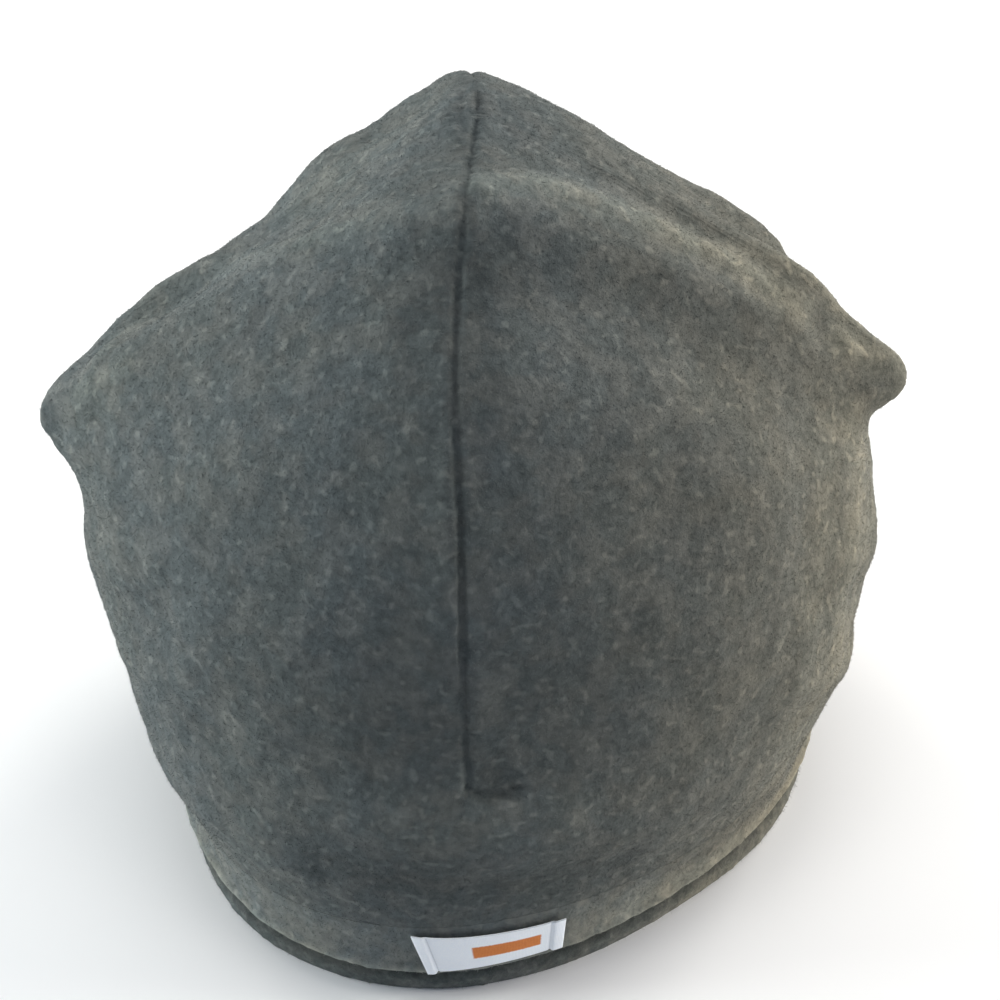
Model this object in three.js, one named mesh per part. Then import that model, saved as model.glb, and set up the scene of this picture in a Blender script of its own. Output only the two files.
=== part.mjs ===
// A soft fleece beanie standing on its rim: a hollow crown with a centre seam, a hem band sewn round the
// opening, the edge of the lining that shows below the band, and a woven label on the front of the band.
// Millimetres, +Z up, front towards -Y. The hat rests on z = 0.
import * as THREE from "three";
import { mergeVertices } from "three/addons/utils/BufferGeometryUtils.js";

// Driving dimensions.
const RIM_WIDTH = 196; // outside of the band's lower edge, side to side
const RIM_DEPTH = 190; // outside of the band's lower edge, front to back
const CROWN_REACH = 236; // tip of the left corner to tip of the right corner
const CROWN_HEIGHT = 178; // seam with the band to the top of the crown
const CROWN_WALL = 3; // fleece of the crown, with its lining
const SEAM_DEPTH = 1.2; // groove of the centre seam
const SEAM_WIDTH = 3;
const SEAM_START = 0.23; // where it starts at the front, as a share of the way up the crown
const BAND_HEIGHT = 17; // band's lower edge to its seam with the crown
const BAND_WALL = 3.6; // fleece of the band, folded double
const LINING_VISIBLE_HEIGHT = 12; // floor to the band's lower edge
const LINING_HIDDEN_HEIGHT = 12; // how far the lining's edge reaches up inside the band
const LINING_WALL = 2.4;
const LINING_FLARE = 1.5; // how far the lining's lower edge spreads
const LABEL_WIDTH = 42;
const LABEL_HEIGHT = 12.5;
const LABEL_THICKNESS = 0.8;
const LABEL_LIFT = 2; // band's lower edge to the label's
const LABEL_SHIFT = 6.5; // centre seam to the middle of the label
const SEWN_GAP = 0.3; // between pieces that are sewn together
const FOLD_HEIGHT = 5; // the highest fold of the cloth

// Loops round the hat, bottom to top, seen as its left and right ends and its front and back middles.
// spread: 0 takes the loop's half width from the rim, 1 from the reach of the corners.
// left, right: shares of that half width, from the centre seam to the ends.
// front, back, ends: shares of half the rim's depth, from the rim's centre line; ends lie back.
// leftUp, rightUp, frontUp, backUp: shares of the crown's height, from the seam with the band.
// turn: how far the loop's right end swings back for each length to the right.
// round: 1 is an ellipse, 0 is a diamond with straight sides.
const BAND_EDGE = {
  name: "band's lower edge", spread: 0, left: 0.89, right: 1.08, front: 1.0, back: 0.99, ends: 0,
  leftUp: 0, rightUp: 0, frontUp: 0, backUp: 0, turn: 0.12, round: 1,
};
const CROWN_LOOPS = [
  { name: "seam with the band", spread: 0.1, left: 0.91, right: 1.07, front: 0.965, back: 0.97, ends: 0,
    leftUp: 0, rightUp: 0, frontUp: 0, backUp: 0, turn: 0.12, round: 1 },
  { name: "lower roll", spread: 0.2, left: 0.94, right: 1.11, front: 0.99, back: 1.0, ends: 0,
    leftUp: 0.11, rightUp: 0.11, frontUp: 0.12, backUp: 0.11, turn: 0.1, round: 1 },
  { name: "start of the seam", spread: 0.4, left: 0.95, right: 1.1, front: 0.93, back: 0.98, ends: 0.02,
    leftUp: 0.23, rightUp: 0.24, frontUp: 0.3, backUp: 0.27, turn: 0.08, round: 0.95 },
  { name: "lower side", spread: 0.6, left: 0.945, right: 1.04, front: 0.82, back: 0.93, ends: 0.02,
    leftUp: 0.35, rightUp: 0.36, frontUp: 0.52, backUp: 0.46, turn: 0.06, round: 0.85 },
  { name: "under the corners", spread: 0.8, left: 0.935, right: 0.99, front: 0.65, back: 0.87, ends: 0.03,
    leftUp: 0.46, rightUp: 0.47, frontUp: 0.74, backUp: 0.65, turn: 0.05, round: 0.65 },
  { name: "neck of the corners", spread: 1, left: 0.955, right: 0.955, front: 0.42, back: 0.8, ends: 0.05,
    leftUp: 0.52, rightUp: 0.53, frontUp: 0.9, backUp: 0.82, turn: 0.05, round: 0.4 },
  { name: "lower side of the crest", spread: 1, left: 0.98, right: 1.01, front: 0.2, back: 0.715, ends: 0.06,
    leftUp: 0.565, rightUp: 0.575, frontUp: 0.97, backUp: 0.91, turn: 0.05, round: 0.2 },
  { name: "upper side of the crest", spread: 1, left: 0.96, right: 0.99, front: 0.07, back: 0.665, ends: 0.08,
    leftUp: 0.6, rightUp: 0.625, frontUp: 1.0, backUp: 0.95, turn: 0.05, round: 0.1 },
  { name: "top", spread: 1, left: 0.62, right: 0.66, front: -0.08, back: 0.54, ends: 0.18,
    leftUp: 0.73, rightUp: 0.8, frontUp: 1.0, backUp: 0.985, turn: 0.05, round: 0.15 },
  { name: "middle of the top", spread: 1, left: 0.25, right: 0.25, front: -0.2, back: 0.4, ends: 0.27,
    leftUp: 0.9, rightUp: 0.94, frontUp: 1.0, backUp: 1.0, turn: 0.03, round: 0.5 },
];

// Folds and hollows of the cloth, each a soft mound of its own.
// at: degrees round from the front, rising to the right; up: share of the way up the crown's side and top.
// wide: degrees; tall: share of that way; out: share of the fold height, negative where the cloth sinks.
// slant: degrees that the fold drifts on its way up.
const FOLDS = [
  { name: "hollow where the seam starts", at: 3, up: 0.23, wide: 13, tall: 0.07, out: -0.6, slant: 0 },
  { name: "swell under the seam", at: 5, up: 0.12, wide: 34, tall: 0.05, out: 0.35, slant: 0 },
  { name: "left of the front", at: -32, up: 0.42, wide: 22, tall: 0.16, out: 0.35, slant: 0 },
  { name: "right of the front", at: 34, up: 0.4, wide: 22, tall: 0.16, out: 0.35, slant: 0 },
  { name: "crest right of the seam", at: 24, up: 0.66, wide: 18, tall: 0.05, out: 0.55, slant: 0 },
  { name: "crest left of the seam", at: -22, up: 0.66, wide: 20, tall: 0.05, out: -0.25, slant: 0 },
  { name: "valley behind the right crest", at: 48, up: 0.8, wide: 20, tall: 0.06, out: -0.5, slant: 30 },
  { name: "crease under the left corner", at: -84, up: 0.44, wide: 20, tall: 0.05, out: -0.25, slant: 60 },
  { name: "crease under the right corner", at: 82, up: 0.47, wide: 18, tall: 0.05, out: -0.4, slant: -60 },
  { name: "roll of the right side", at: 74, up: 0.27, wide: 26, tall: 0.05, out: 0.5, slant: 40 },
  { name: "dip of the right side", at: 88, up: 0.18, wide: 24, tall: 0.05, out: -0.5, slant: 40 },
  { name: "roll of the left side", at: -80, up: 0.3, wide: 24, tall: 0.06, out: 0.4, slant: -30 },
  { name: "dip of the left side", at: -95, up: 0.2, wide: 26, tall: 0.05, out: -0.5, slant: -30 },
  { name: "lobe left of the back seam", at: 198, up: 0.68, wide: 16, tall: 0.09, out: 0.4, slant: 0 },
  { name: "sag of the left crest", at: -152, up: 0.7, wide: 14, tall: 0.09, out: -0.8, slant: 0 },
  { name: "rise of the right crest", at: 142, up: 0.7, wide: 12, tall: 0.08, out: 1, slant: 0 },
  { name: "sag of the right crest", at: 116, up: 0.7, wide: 12, tall: 0.08, out: -0.8, slant: 0 },
  { name: "hollow of the left back", at: -140, up: 0.5, wide: 22, tall: 0.12, out: -0.7, slant: 0 },
  { name: "hollow of the right back", at: 142, up: 0.46, wide: 22, tall: 0.12, out: -0.6, slant: 0 },
  { name: "lower fold of the back", at: 170, up: 0.22, wide: 40, tall: 0.05, out: -0.5, slant: 60 },
];
const TENT_ROUNDING = 0.12; // how softly a diamond loop bends over the centre seam
const CORNER_ROUNDING = 0.3; // how blunt a diamond loop is at its two ends
const CLOSING_BACK = 0.3; // where the crown closes, as a share of half the rim's depth
const CORE_BACK = 0.12; // the core that the crown's wall grows towards, as a share of half the rim's depth
const CORE_UP = 0.5; // and as a share of the crown's height
const STEEPEST_WALL = 0.3; // limits how far cloth that lies edge-on to the core is filled

const COLUMNS = 56; // steps round the hat
const STEPS_PER_LOOP = 3; // steps up the crown from one loop to the next
const LABEL_COLUMNS = 12; // steps along the label
const LABEL_ROWS = 4; // steps up it

const FRONT = -Math.PI / 2;
const DEGREE = Math.PI / 180;
const halfDepth = RIM_DEPTH / 2;
const bandBottom = LINING_VISIBLE_HEIGHT;
const bandTop = bandBottom + BAND_HEIGHT;
const crownBottom = bandTop + SEWN_GAP;

// A loop's shares turned into millimetres.
function inMillimetres(loop, floor) {
  const halfWidth = THREE.MathUtils.lerp(RIM_WIDTH, CROWN_REACH, loop.spread) / 2;
  return {
    left: loop.left * halfWidth,
    right: loop.right * halfWidth,
    front: -loop.front * halfDepth,
    back: loop.back * halfDepth,
    ends: loop.ends * halfDepth,
    leftZ: floor + loop.leftUp * CROWN_HEIGHT,
    rightZ: floor + loop.rightUp * CROWN_HEIGHT,
    frontZ: floor + loop.frontUp * CROWN_HEIGHT,
    backZ: floor + loop.backUp * CROWN_HEIGHT,
    turn: loop.turn,
    round: loop.round,
  };
}

// 1 over the centre seam and 0 at the ends of a loop: straight between, and softened at the seam.
function tent(across) {
  const soft = Math.hypot(across, TENT_ROUNDING) - TENT_ROUNDING;
  const full = Math.hypot(1, TENT_ROUNDING) - TENT_ROUNDING;
  return 1 - soft / full;
}

function pointOnLoop(loop, angle) {
  const across = Math.cos(angle);
  const along = Math.sin(angle);
  const x = across * (across < 0 ? loop.left : loop.right);
  const straight = tent(Math.abs(across));
  const round = loop.round + (1 - loop.round) * CORNER_ROUNDING * across ** 8;
  const share = THREE.MathUtils.lerp(straight, Math.abs(along), round);
  const middleY = along < 0 ? loop.front : loop.back;
  const middleZ = along < 0 ? loop.frontZ : loop.backZ;
  const endZ = across < 0 ? loop.leftZ : loop.rightZ;
  const y = loop.ends + (middleY - loop.ends) * share + loop.turn * x;
  const z = endZ + (middleZ - endZ) * THREE.MathUtils.lerp(straight, along * along, loop.round);
  return new THREE.Vector3(x, y, z);
}

// The angles round the hat: even steps, with a close pair beside each end of the centre seam.
const seamHalfAngle = SEAM_WIDTH / RIM_WIDTH;
const angles = [];
const seamColumns = [];
for (let i = 0; i < COLUMNS; i += 1) {
  const angle = FRONT + (i * 2 * Math.PI) / COLUMNS;
  if (i % (COLUMNS / 2) === 0) {
    seamColumns.push(angles.length + 1);
    angles.push(angle - seamHalfAngle, angle, angle + seamHalfAngle);
  } else {
    angles.push(angle);
  }
}

function ringOnLoop(loop) {
  return angles.map((angle) => pointOnLoop(loop, angle));
}

// Outward direction at each point of a stack of rings, from its four neighbours.
function ringNormals(rings) {
  return rings.map((ring, row) => {
    const below = rings[Math.max(row - 1, 0)];
    const above = rings[Math.min(row + 1, rings.length - 1)];
    return ring.map((_, column) => {
      const next = ring[(column + 1) % ring.length];
      const previous = ring[(column + ring.length - 1) % ring.length];
      const round = next.clone().sub(previous);
      return round.cross(above[column].clone().sub(below[column])).normalize();
    });
  });
}

// Each point moved along its normal by distance(row, column).
function movedOut(rings, distance) {
  const normals = ringNormals(rings);
  return rings.map((ring, row) =>
    ring.map((point, column) => point.clone().addScaledVector(normals[row][column], distance(row, column))),
  );
}

// Adds the two triangles of each step between two rings; seen from outside, upper lies above lower.
function addStrip(triangles, lower, upper) {
  for (let column = 0; column < lower.length; column += 1) {
    const next = (column + 1) % lower.length;
    triangles.push(lower[column], lower[next], upper[next]);
    triangles.push(lower[column], upper[next], upper[column]);
  }
}

// Closes a ring with a tip, facing up as the crown's outside does or down as its inside does.
function addFan(triangles, ring, tip, facesUp) {
  for (let column = 0; column < ring.length; column += 1) {
    const next = (column + 1) % ring.length;
    if (facesUp) triangles.push(ring[column], ring[next], tip);
    else triangles.push(ring[next], ring[column], tip);
  }
}

function geometryOf(triangles) {
  const geometry = new THREE.BufferGeometry().setFromPoints(triangles);
  const merged = mergeVertices(geometry);
  merged.computeVertexNormals();
  return merged;
}

// The crown's outer face as rings of points, bottom to top, before its folds and its seam.
const crownLoops = CROWN_LOOPS.map((loop) => inMillimetres(loop, crownBottom));
const closingPoint = new THREE.Vector3(0, CLOSING_BACK * halfDepth, crownBottom + CROWN_HEIGHT);
const crownCurves = angles.map((angle) => {
  const stations = crownLoops.map((loop) => pointOnLoop(loop, angle));
  return new THREE.CatmullRomCurve3([...stations, closingPoint]);
});
const crownSteps = crownLoops.length * STEPS_PER_LOOP;
const plainRings = [];
for (let step = 0; step < crownSteps; step += 1) {
  plainRings.push(crownCurves.map((curve) => curve.getPoint(step / crownSteps)));
}

// How far a fold of the table lifts the cloth at a place, in millimetres.
function foldLift(fold, angle, up) {
  const turned = (angle - FRONT) / DEGREE - fold.at - fold.slant * (up - fold.up);
  const across = (((turned % 360) + 540) % 360 - 180) / fold.wide;
  const along = (up - fold.up) / fold.tall;
  return fold.out * FOLD_HEIGHT * Math.exp(-across * across - along * along);
}

const foldedRings = movedOut(plainRings, (row, column) => {
  const up = row / crownSteps;
  const fadeIn = Math.min(1, row / STEPS_PER_LOOP);
  return fadeIn * FOLDS.reduce((lift, fold) => lift + foldLift(fold, angles[column], up), 0);
});

// The centre seam is a groove from its start at the front, over the top, down to the band at the back.
// The columns beside it are drawn in to the groove's width.
const [frontSeam, backSeam] = seamColumns;
for (const ring of foldedRings) {
  for (const seam of seamColumns) {
    for (const side of [seam - 1, seam + 1]) {
      const away = ring[side].clone().sub(ring[seam]);
      ring[side].copy(ring[seam]).addScaledVector(away.normalize(), SEAM_WIDTH / 2);
    }
  }
}
const outerRings = movedOut(foldedRings, (row, column) => {
  const up = row / crownSteps;
  const atFront = column === frontSeam && up >= SEAM_START;
  const atBack = column === backSeam && row > 0;
  return atFront || atBack ? -SEAM_DEPTH : 0;
});
const outerTip = closingPoint.clone().setZ(closingPoint.z - SEAM_DEPTH);

// Which way the wall grows from a point of the outside: level towards the middle of the hat low down, and
// towards a core under the crown's top higher up, so that the inside never crosses itself in a corner.
function inwardFrom(point) {
  const coreZ = Math.min(point.z, crownBottom + CORE_UP * CROWN_HEIGHT);
  return new THREE.Vector3(0, CORE_BACK * halfDepth, coreZ).sub(point).normalize();
}

// The largest value among a place and its eight neighbours, so that the cloth fills the tip of a corner.
function largestNearby(values) {
  return values.map((line, row) =>
    line.map((_, column) => {
      const near = [];
      for (const other of [Math.max(row - 1, 0), row, Math.min(row + 1, values.length - 1)]) {
        for (const step of [-1, 0, 1]) near.push(values[other][(column + step + line.length) % line.length]);
      }
      return Math.max(...near);
    }),
  );
}

// The crown's inside: at least the wall's thickness from its outside.
function insideOf(rings) {
  const normals = ringNormals(rings);
  const inward = rings.map((ring) => ring.map(inwardFrom));
  const reach = rings.map((ring, row) =>
    ring.map((_, column) => {
      const square = -normals[row][column].dot(inward[row][column]);
      return CROWN_WALL / Math.max(square, STEEPEST_WALL);
    }),
  );
  const filled = largestNearby(reach);
  return rings.map((ring, row) =>
    ring.map((point, column) => point.clone().addScaledVector(inward[row][column], filled[row][column])),
  );
}

function buildCrown() {
  const innerRings = insideOf(foldedRings);
  innerRings[0].forEach((point) => point.setZ(crownBottom));
  const innerTip = closingPoint.clone().setZ(closingPoint.z - CROWN_WALL);
  const triangles = [];
  for (let row = 0; row + 1 < crownSteps; row += 1) {
    addStrip(triangles, outerRings[row], outerRings[row + 1]);
    addStrip(triangles, innerRings[row + 1], innerRings[row]);
  }
  addFan(triangles, outerRings[crownSteps - 1], outerTip, true);
  addFan(triangles, innerRings[crownSteps - 1], innerTip, false);
  addStrip(triangles, innerRings[0], outerRings[0]);
  return geometryOf(triangles);
}

// Loops round the band and the lining are blends of the band's lower edge and the crown's lowest loop.
const edgeLoop = inMillimetres(BAND_EDGE, crownBottom);

function bandLoop(share, inset, z) {
  const seamLoop = crownLoops[0];
  const loop = {};
  for (const key of Object.keys(edgeLoop)) {
    loop[key] = THREE.MathUtils.lerp(edgeLoop[key], seamLoop[key], share);
  }
  loop.left -= inset;
  loop.right -= inset;
  loop.front += inset;
  loop.back -= inset;
  for (const key of ["leftZ", "rightZ", "frontZ", "backZ"]) loop[key] = z;
  return loop;
}

// A closed ring round the hat. Its section is a list of [share up the band, inset, z] that runs up the
// outside and then down the inside.
function buildRing(section) {
  const rings = section.map(([share, inset, z]) => ringOnLoop(bandLoop(share, inset, z)));
  const triangles = [];
  rings.forEach((ring, row) => addStrip(triangles, ring, rings[(row + 1) % rings.length]));
  return geometryOf(triangles);
}

// How far the band's outside bulges at a share of the way up it.
function bandBulge(share) {
  return (BAND_WALL / 6) * Math.sin(share * Math.PI);
}

// The band is soft: its two long edges are rounded and its outside bulges a little.
function buildBand() {
  const rounding = BAND_WALL / 3;
  const edge = rounding / BAND_HEIGHT;
  const section = [[0, rounding, bandBottom]];
  for (const share of [edge, 1 / 3, 2 / 3, 1 - edge]) {
    section.push([share, -bandBulge(share), bandBottom + share * BAND_HEIGHT]);
  }
  section.push([1, rounding, bandTop]);
  section.push([1, BAND_WALL - rounding, bandTop]);
  section.push([1 - edge, BAND_WALL, bandTop - rounding]);
  section.push([edge, BAND_WALL, bandBottom + rounding]);
  section.push([0, BAND_WALL - rounding, bandBottom]);
  return buildRing(section);
}

// The lining's edge stands on its flat lower face, and its upper end hides inside the band.
function buildLining() {
  const outside = BAND_WALL + SEWN_GAP;
  const flared = outside - LINING_FLARE;
  const rounding = LINING_WALL / 4;
  const top = bandBottom + LINING_HIDDEN_HEIGHT;
  const topShare = LINING_HIDDEN_HEIGHT / BAND_HEIGHT;
  return buildRing([
    [0, flared + rounding, 0],
    [0, flared, 2 * rounding],
    [0, outside, bandBottom],
    [topShare, outside, top],
    [topShare, outside + LINING_WALL, top],
    [0, outside + LINING_WALL, bandBottom],
    [0, flared + LINING_WALL, 2 * rounding],
    [0, flared + LINING_WALL - rounding, 0],
  ]);
}

// The label is a flat woven piece laid on the band, with its back SEWN_GAP away from it.
function buildLabel() {
  const geometry = new THREE.BoxGeometry(
    LABEL_WIDTH, LABEL_HEIGHT, LABEL_THICKNESS, LABEL_COLUMNS, LABEL_ROWS, 1,
  );
  geometry.deleteAttribute("normal");
  geometry.deleteAttribute("uv");
  const flat = mergeVertices(geometry);
  const place = flat.attributes.position;
  for (let i = 0; i < place.count; i += 1) {
    const fromSeam = LABEL_SHIFT + place.getX(i);
    const up = LABEL_LIFT + LABEL_HEIGHT / 2 + place.getY(i);
    const share = up / BAND_HEIGHT;
    const out = SEWN_GAP + LABEL_THICKNESS / 2 + place.getZ(i);
    const loop = bandLoop(share, -bandBulge(share) - out, bandBottom + up);
    const side = fromSeam < 0 ? loop.left : loop.right;
    const point = pointOnLoop(loop, -Math.acos(fromSeam / side));
    place.setXYZ(i, point.x, point.y, point.z);
  }
  flat.computeVertexNormals();
  return flat;
}

const parts = [
  ["crown", buildCrown(), "#5a6160", 1],
  ["hem_band", buildBand(), "#666963", 1],
  ["lining_edge", buildLining(), "#4a4f4e", 1],
  ["label", buildLabel(), "#e2e6ea", 0.8],
];
const group = new THREE.Group();
for (const [name, geometry, colour, roughness] of parts) {
  const material = new THREE.MeshStandardMaterial({ color: colour, roughness, metalness: 0 });
  const mesh = new THREE.Mesh(geometry, material);
  mesh.name = name;
  group.add(mesh);
}

// The origin is on the floor, under the middle of the whole hat.
const middle = new THREE.Box3().setFromObject(group).getCenter(new THREE.Vector3());
for (const mesh of group.children) mesh.position.set(-middle.x, -middle.y, 0);
export default group;
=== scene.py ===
# %% [markdown]
# # A fleece beanie, standing on its rim
#
# The real hat is four things sewn together: a crown of brushed grey fleece with one seam over its middle,
# a hem band round the opening, the edge of the lining that peeps out under the band, and a small woven
# label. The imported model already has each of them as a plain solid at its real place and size. This lesson
# dresses those solids: it copies each one, gives it the soft folds, the seam and the nap of real fleece,
# and finishes it with materials that are made of nodes alone.
#
# All lengths are metres, +Z is up, and the front of the hat looks towards -Y.

from math import cos, hypot, pi, radians, sin

import bpy
import numpy as np
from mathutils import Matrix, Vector
from mathutils.bvhtree import BVHTree


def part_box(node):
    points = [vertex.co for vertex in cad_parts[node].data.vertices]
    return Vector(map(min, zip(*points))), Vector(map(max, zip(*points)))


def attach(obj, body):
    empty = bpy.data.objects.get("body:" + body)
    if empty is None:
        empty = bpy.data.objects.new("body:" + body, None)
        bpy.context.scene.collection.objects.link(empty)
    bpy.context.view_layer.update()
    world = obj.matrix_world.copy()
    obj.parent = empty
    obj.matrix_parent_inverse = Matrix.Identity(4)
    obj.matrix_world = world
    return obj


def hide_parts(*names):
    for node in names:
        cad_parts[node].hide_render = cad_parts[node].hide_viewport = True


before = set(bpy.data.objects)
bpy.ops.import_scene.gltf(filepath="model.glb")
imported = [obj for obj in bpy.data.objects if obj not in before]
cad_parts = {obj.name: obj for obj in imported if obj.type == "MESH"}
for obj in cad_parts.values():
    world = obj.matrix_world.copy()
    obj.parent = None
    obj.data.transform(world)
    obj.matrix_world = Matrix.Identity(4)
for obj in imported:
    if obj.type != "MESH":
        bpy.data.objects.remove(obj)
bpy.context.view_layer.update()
MM = 0.001
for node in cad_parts:
    print(node, len(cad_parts[node].data.polygons), "triangles")

# %% [markdown]
# ## The camera
#
# The photograph looks down on the front of the hat by 42 degrees, from a little over half a metre. A camera
# could be placed by eye, but one that is worked out from the outline gives more: the same numbers turn a
# pixel of the photograph into a ray, so that a crease can be drawn on the cloth just where it is seen.

# %% Place the camera
IMAGE_SIDE = 1000
FOCAL_PIXELS = 2148
CAMERA_TARGET = Vector((7.66, 0.42, 100)) * MM
CAMERA_DISTANCE = 600 * MM
CAMERA_ELEVATION = radians(42)

FORWARD = Vector((0, cos(CAMERA_ELEVATION), -sin(CAMERA_ELEVATION)))
CAMERA_UP = Vector((0, sin(CAMERA_ELEVATION), cos(CAMERA_ELEVATION)))
EYE = CAMERA_TARGET - FORWARD * CAMERA_DISTANCE

camera = bpy.data.objects.new("camera", bpy.data.cameras.new("camera"))
bpy.context.scene.collection.objects.link(camera)
camera.location = EYE
camera.rotation_euler = (pi / 2 - CAMERA_ELEVATION, 0, 0)
camera.data.sensor_width = 36
camera.data.lens = 36 * FOCAL_PIXELS / IMAGE_SIDE
camera.data.clip_start = 0.01
bpy.context.scene.camera = camera
print("camera at", [round(value, 4) for value in EYE], "lens", round(camera.data.lens, 2), "mm")


def pixel_ray(across, down):
    """The direction in which the camera sees a pixel of the photograph."""
    right = (across - IMAGE_SIDE / 2) / FOCAL_PIXELS
    up = (IMAGE_SIDE / 2 - down) / FOCAL_PIXELS
    return (FORWARD + Vector((right, 0, 0)) + CAMERA_UP * up).normalized()


# %% [markdown]
# ## Floor and light
#
# In the photograph the two sides and the top of the hat are light and its front is dark, so the lamps stand
# low at the left and the right, behind on both sides, and overhead, and none stands in front. They are area
# lights, because the size of a lamp is what softens its shadow. The strengths come from renders with one
# lamp at a time, which were then weighed against the tones of the photograph.
# The floor is one wide plane.

# %% Make the floor and the lamps
def deselect():
    """Leaves edit mode and selects nothing."""
    if bpy.context.object and bpy.context.object.mode != "OBJECT":
        bpy.ops.object.mode_set(mode="OBJECT")
    bpy.ops.object.select_all(action="DESELECT")


def lamp(name, place, aim, size, power, colour):
    """A square area light that looks at a point."""
    light = bpy.data.lights.new(name, "AREA")
    light.shape = "SQUARE"
    light.size = size
    light.energy = power
    light.color = colour
    item = bpy.data.objects.new(name, light)
    bpy.context.scene.collection.objects.link(item)
    item.location = place
    item.visible_camera = False
    item.rotation_euler = (Vector(aim) - Vector(place)).to_track_quat("-Z", "Y").to_euler()
    return item


deselect()
bpy.ops.mesh.primitive_plane_add(size=8, location=(0, 0, 0))
floor = bpy.context.object
floor.name = "floor"

AIM = (0, 0, 0.1)
lamp("lamp_over", (0, 0.1, 1.5), AIM, 0.8, 8.4, (1.0, 0.98, 0.92))
lamp("lamp_left", (-1.2, 0.05, 0.35), AIM, 0.6, 16.2, (0.96, 1.0, 0.97))
lamp("lamp_right", (1.2, 0.1, 0.35), AIM, 0.6, 15.8, (1.0, 0.94, 0.86))
lamp("lamp_back_left", (-0.9, 0.9, 0.5), AIM, 0.6, 5.2, (1.0, 0.94, 0.84))
lamp("lamp_back_right", (0.9, 0.9, 0.5), AIM, 0.6, 10.6, (1.0, 0.98, 0.92))

world = bpy.data.worlds.new("studio")
bpy.context.scene.world = world
world.use_nodes = True
world.node_tree.nodes["Background"].inputs["Color"].default_value = (0.69, 0.79, 1.0, 1)
world.node_tree.nodes["Background"].inputs["Strength"].default_value = 0.3
bpy.context.scene.view_settings.view_transform = "Standard"
print("floor, 5 lamps and a dim sky")

# %% [markdown]
# ## Writing materials as sums
#
# A material's pattern is arithmetic on noise: so much light fleck here, less colour there. Placing Math
# nodes one by one hides that, so a small class wraps an output socket and overloads + - * and /, and each
# expression adds its own nodes. Every other node comes from one method, which takes the node's type, its
# settings and what goes into its sockets.

# %% Shader helpers
class Sock:
    """An output socket that can be used in an expression."""

    def __init__(self, look, socket):
        self.look = look
        self.socket = socket

    def math(self, operation, first, second):
        return self.look.node("ShaderNodeMath", {"operation": operation}, {0: first, 1: second})

    def __add__(self, other):
        return self.math("ADD", self, other)

    def __radd__(self, other):
        return self.math("ADD", other, self)

    def __sub__(self, other):
        return self.math("SUBTRACT", self, other)

    def __rsub__(self, other):
        return self.math("SUBTRACT", other, self)

    def __mul__(self, other):
        return self.math("MULTIPLY", self, other)

    def __rmul__(self, other):
        return self.math("MULTIPLY", other, self)

    def __truediv__(self, other):
        return self.math("DIVIDE", self, other)


class Look:
    """A material and the nodes that make it."""

    def __init__(self, name):
        self.material = bpy.data.materials.new(name)
        self.material.use_nodes = True
        self.nodes = self.material.node_tree.nodes
        self.links = self.material.node_tree.links
        self.shader = self.nodes["Principled BSDF"]

    def fill(self, socket, value):
        """Links a socket, or sets it to a number, a colour or a vector."""
        if isinstance(value, Sock):
            self.links.new(value.socket, socket)
        elif isinstance(value, (tuple, list)) and socket.type == "RGBA":
            socket.default_value = (*value, 1)
        else:
            socket.default_value = value

    def node(self, kind, settings=None, sockets=None, output=None):
        """Adds a node and returns one of its outputs, the first unless output names another."""
        made = self.nodes.new(kind)
        for key, value in (settings or {}).items():
            setattr(made, key, value)
        for key, value in (sockets or {}).items():
            self.fill(made.inputs[key], value)
        return Sock(self, made.outputs[output] if output else made.outputs[0])

    def place(self):
        """Where a point is on the object, in metres."""
        return self.node("ShaderNodeTexCoord", output="Object")

    def attribute(self, name):
        return self.node("ShaderNodeAttribute", {"attribute_name": name}, output="Fac")

    def grain(self, size, detail=2.0, roughness=0.5, offset=0.0, twist=0.0):
        """Noise from 0 to 1 with grains of about this size, in metres."""
        where = self.node("ShaderNodeMapping", sockets={0: self.place(), 1: (offset, offset, -offset)})
        values = {"Vector": where, "Scale": 1 / size, "Detail": detail, "Roughness": roughness}
        return self.node("ShaderNodeTexNoise", None, {**values, "Distortion": twist})

    def step(self, value, start, end):
        """Goes from 0 to 1 as value goes from start to end."""
        sockets = {"Value": value, "From Min": start, "From Max": end}
        return self.node("ShaderNodeMapRange", {"interpolation_type": "SMOOTHSTEP"}, sockets)

    def mix(self, share, first, second, blend="MIX"):
        """A colour between two colours."""
        made = self.nodes.new("ShaderNodeMix")
        made.data_type = "RGBA"
        made.blend_type = blend
        for key, value in (("Factor", share), ("A", first), ("B", second)):
            wanted = "VALUE" if key == "Factor" else "RGBA"
            socket = next(s for s in made.inputs if s.name == key and s.type == wanted)
            self.fill(socket, value)
        return Sock(self, next(s for s in made.outputs if s.type == "RGBA"))

    def bump(self, height, distance, strength=1.0):
        sockets = {"Strength": strength, "Distance": distance, "Height": height}
        return self.node("ShaderNodeBump", None, sockets)

    def finish(self, colour, roughness, normal=None, **constants):
        """Feeds the shader; constants are plain numbers that are the same all over."""
        self.fill(self.shader.inputs["Base Color"], colour)
        self.fill(self.shader.inputs["Roughness"], roughness)
        if normal is not None:
            self.fill(self.shader.inputs["Normal"], normal)
        for key, value in constants.items():
            self.fill(self.shader.inputs[key.replace("_", " ")], value)
        print("material", self.material.name, len(self.nodes), "nodes")
        return self.material
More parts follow.
